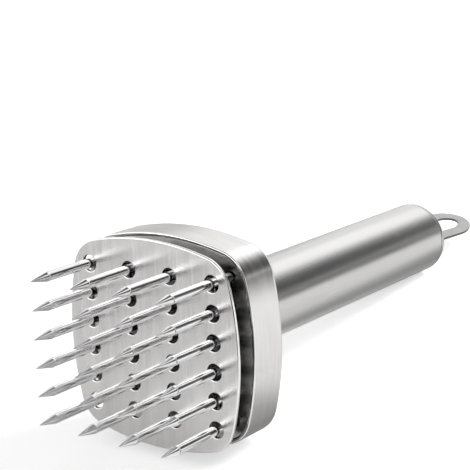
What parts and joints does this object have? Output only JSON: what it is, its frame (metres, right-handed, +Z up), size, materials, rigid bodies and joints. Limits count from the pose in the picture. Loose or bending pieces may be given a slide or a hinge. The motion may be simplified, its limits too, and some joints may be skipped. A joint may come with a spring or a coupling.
{
  "type": "needle meat tenderizer",
  "caption": "Stainless hand tenderizer: rounded-square head of pointed needles behind a sprung perforated guard plate, on a straight tube handle with a hanging eye.",
  "frame": {"origin": "on the table surface under the middle of the lying tool's bounding box", "axes": "+X from the needle points to the hanging eye, level; +Z up. The tool lies on its shell and handle end, so its own axis dips 8.06 degrees towards +X"},
  "size_m": [0.2136, 0.0622, 0.0644],
  "materials": {
    "guard_steel": "fine brushed stainless steel",
    "needle_steel": "polished stainless steel",
    "mirror_steel": "mirror-polished stainless steel, dark where it reflects the shell",
    "shell_steel": "brushed stainless steel with a polished rim",
    "handle_steel": "satin stainless steel tube",
    "eye_steel": "tumbled stainless sheet",
    "spring_steel": "bright spring wire",
    "zinc_steel": "zinc-plated steel"
  },
  "bodies": {
    "tool": {"head_shell": "shell_steel", "needle_carrier": "mirror_steel", "backing_plate": "guard_steel", "needle_r1_c1": "needle_steel", "needle_r1_c2": "needle_steel", "needle_r1_c3": "needle_steel", "needle_r1_c4": "needle_steel", "needle_r2_c1": "needle_steel", "needle_r2_c2": "needle_steel", "needle_r2_c3": "needle_steel", "needle_r2_c4": "needle_steel", "needle_r3_c1": "needle_steel", "needle_r3_c2": "needle_steel", "needle_r3_c3": "needle_steel", "needle_r3_c4": "needle_steel", "needle_r4_c1": "needle_steel", "needle_r4_c2": "needle_steel", "needle_r4_c3": "needle_steel", "needle_r4_c4": "needle_steel", "needle_r5_c1": "needle_steel", "needle_r5_c2": "needle_steel", "needle_r5_c3": "needle_steel", "needle_r5_c4": "needle_steel", "needle_r6_c1": "needle_steel", "needle_r6_c2": "needle_steel", "needle_r6_c3": "needle_steel", "needle_r6_c4": "needle_steel", "guard_spring_1": "spring_steel", "guard_spring_2": "spring_steel", "guard_spring_3": "spring_steel", "guard_spring_4": "spring_steel", "pillar_1": "zinc_steel", "pillar_2": "zinc_steel", "pillar_3": "zinc_steel", "pillar_4": "zinc_steel", "carrier_screw_1": "zinc_steel", "carrier_screw_2": "zinc_steel", "carrier_screw_3": "zinc_steel", "carrier_screw_4": "zinc_steel", "centre_bolt": "zinc_steel", "centre_washer": "zinc_steel", "handle_plug": "zinc_steel", "handle_tube": "handle_steel", "end_cap": "handle_steel", "hanging_eye": "eye_steel", "eye_pin": "zinc_steel"},
    "guard": {"guard_plate": "guard_steel", "guide_post_1": "needle_steel", "guide_post_2": "needle_steel", "guide_post_3": "needle_steel", "guide_post_4": "needle_steel", "retaining_clip_1": "spring_steel", "retaining_clip_2": "spring_steel", "retaining_clip_3": "spring_steel", "retaining_clip_4": "spring_steel"}
  },
  "joints": [
    {"name": "guard_slide", "type": "slide", "parent": "tool", "child": "guard", "axis": [0.9901, 0, -0.1401], "range_m": [0, 0.0059], "stiffness_N_per_m": 3200, "springref_m": -0.0016, "deforming": ["guard_spring_1", "guard_spring_2", "guard_spring_3", "guard_spring_4"]}
  ]
}
